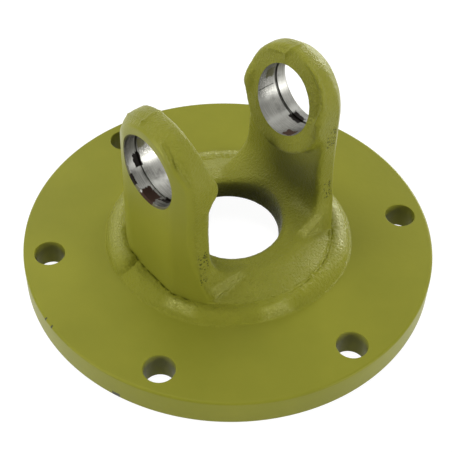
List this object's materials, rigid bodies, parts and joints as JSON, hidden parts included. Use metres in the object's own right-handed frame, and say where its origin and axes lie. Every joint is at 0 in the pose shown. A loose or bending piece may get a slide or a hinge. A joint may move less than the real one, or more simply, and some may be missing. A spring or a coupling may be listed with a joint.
{
  "type": "flange yoke",
  "caption": "Forged fork with bored ears, welded onto a round bolting flange, which carries one half of a universal joint on a driveshaft.",
  "frame": {"origin": "centre of the flange's underside", "axes": "+Z along the driveshaft's axis, from the flange to the ears; +X along the cross bores"},
  "size_m": [0.19, 0.19, 0.1047],
  "materials": {
    "paint": "satin olive green enamel over steel",
    "bare_steel": "finely turned bare steel in the bores, with stains"
  },
  "bodies": {
    "root": {"flange_plate": "paint", "yoke_forging": "paint", "weld_bead": "paint"}
  },
  "joints": []
}
